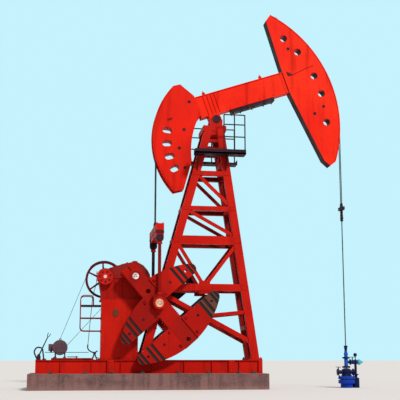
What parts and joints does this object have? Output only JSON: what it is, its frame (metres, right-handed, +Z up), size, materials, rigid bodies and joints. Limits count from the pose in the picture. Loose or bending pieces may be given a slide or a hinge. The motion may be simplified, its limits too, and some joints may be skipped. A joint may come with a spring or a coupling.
{
  "type": "dual-horsehead beam pumping unit",
  "caption": "Oilfield beam pumping unit on its concrete foundation: tilting beam with a large front head and a smaller rear head, lattice derrick, counterweighted cranks and wellhead.",
  "frame": {"origin": "on the ground under the saddle bearing, on the foundation's underside", "axes": "+X towards the well, +Y across the machine away from the viewer, +Z up"},
  "size_m": [10.7253, 2.5, 12.6216],
  "materials": {
    "red_paint": "sun-bleached red enamel on steel",
    "dark_red_paint": "deep red enamel on steel",
    "black_paint": "greasy black paint",
    "motor_paint": "dull purple-grey paint",
    "wellhead_paint": "blue enamel on cast steel",
    "bare_steel": "machined steel, lightly oiled",
    "pin_caps": "turned cap, dull",
    "wire_rope": "greased wire rope",
    "belt_rubber": "vee belts",
    "concrete": "cast concrete, dusty"
  },
  "bodies": {
    "root": {"foundation": "concrete", "skid_rails": "red_paint", "skid_cross_members": "dark_red_paint", "gearbox_pedestal": "red_paint", "gearbox_case": "dark_red_paint", "gearbox_cover": "red_paint", "motor": "motor_paint", "motor_rails": "red_paint", "drive_belts": "belt_rubber", "derrick_side_near": "red_paint", "derrick_side_far": "red_paint", "derrick_cross_ties": "red_paint", "derrick_cap": "red_paint", "saddle_bearing": "black_paint", "deck_near": "red_paint", "deck_far": "red_paint", "railing_near": "red_paint", "railing_far": "red_paint", "service_frame": "dark_red_paint", "brake_stand": "dark_red_paint", "wellhead": "wellhead_paint", "stuffing_box": "wellhead_paint"},
    "crank": {"crankshaft": "bare_steel", "crank_near": "red_paint", "crank_far": "red_paint", "counterweights_near": "red_paint", "counterweights_far": "red_paint", "wrist_pins": "bare_steel", "wrist_pin_caps": "pin_caps"},
    "pitmans": {"pitman_near": "red_paint", "pitman_far": "red_paint", "equalizer": "red_paint"},
    "drive_rope": {"drive_rope_span": "wire_rope"},
    "beam": {"walking_beam": "red_paint", "beam_weight_box": "dark_red_paint", "front_head": "red_paint", "rear_head": "red_paint", "saddle_shaft": "bare_steel", "drive_rope_wrap": "wire_rope", "bridle_wrap": "wire_rope"},
    "rod": {"carrier_bar": "bare_steel", "polished_rod": "bare_steel", "bridle_span": "wire_rope"},
    "input_shaft": {"belt_wheel": "black_paint", "brake_drum": "red_paint"},
    "motor_pulley": {"motor_pulley": "black_paint"},
    "brake_lever": {"brake_lever": "dark_red_paint"}
  },
  "joints": [
    {"name": "crank_turn", "type": "hinge", "parent": "root", "child": "crank", "pos_m": [-2.67, 0, 3.45], "axis": [0, 1, 0], "continuous": true},
    {"name": "pitman_swing", "type": "hinge", "parent": "crank", "child": "pitmans", "pos_m": [-1.94177, 0, 2.61227], "axis": [0, 1, 0], "continuous": true},
    {"name": "beam_rock", "type": "hinge", "parent": "root", "child": "beam", "pos_m": [0, 0, 8.77], "axis": [0, -1, 0], "range_deg": [-46, 7], "deforming": ["drive_rope_span"]},
    {"name": "rope_swing", "type": "hinge", "parent": "beam", "child": "drive_rope", "pos_m": [0.52537, 0, 8.11961], "axis": [0, -1, 0], "range_deg": [-7, 46]},
    {"name": "rod_travel", "type": "slide", "parent": "root", "child": "rod", "axis": [0, 0, 1], "range_m": [-3.48, 0.54], "deforming": ["bridle_span"]},
    {"name": "belt_wheel_spin", "type": "hinge", "parent": "root", "child": "input_shaft", "pos_m": [-3.59, 0, 3.45], "axis": [0, 1, 0], "continuous": true},
    {"name": "motor_pulley_spin", "type": "hinge", "parent": "root", "child": "motor_pulley", "pos_m": [-4.93, 0, 1.27], "axis": [0, 1, 0], "continuous": true},
    {"name": "brake_lever_pull", "type": "hinge", "parent": "root", "child": "brake_lever", "pos_m": [-5.56, -0.48, 1.01], "axis": [0, 1, 0], "range_deg": [-45, 5]}
  ],
  "couplings": [
    {"joint": "rope_swing", "follows": "beam_rock", "ratio": -1},
    {"joint": "pitman_swing", "follows": "crank_turn", "ratio": -1},
    {"joint": "belt_wheel_spin", "follows": "crank_turn", "ratio": 30},
    {"joint": "motor_pulley_spin", "follows": "crank_turn", "ratio": 163.64},
    {"joint": "rod_travel", "follows": "beam_rock", "m_per_rad": 4.3153}
  ]
}
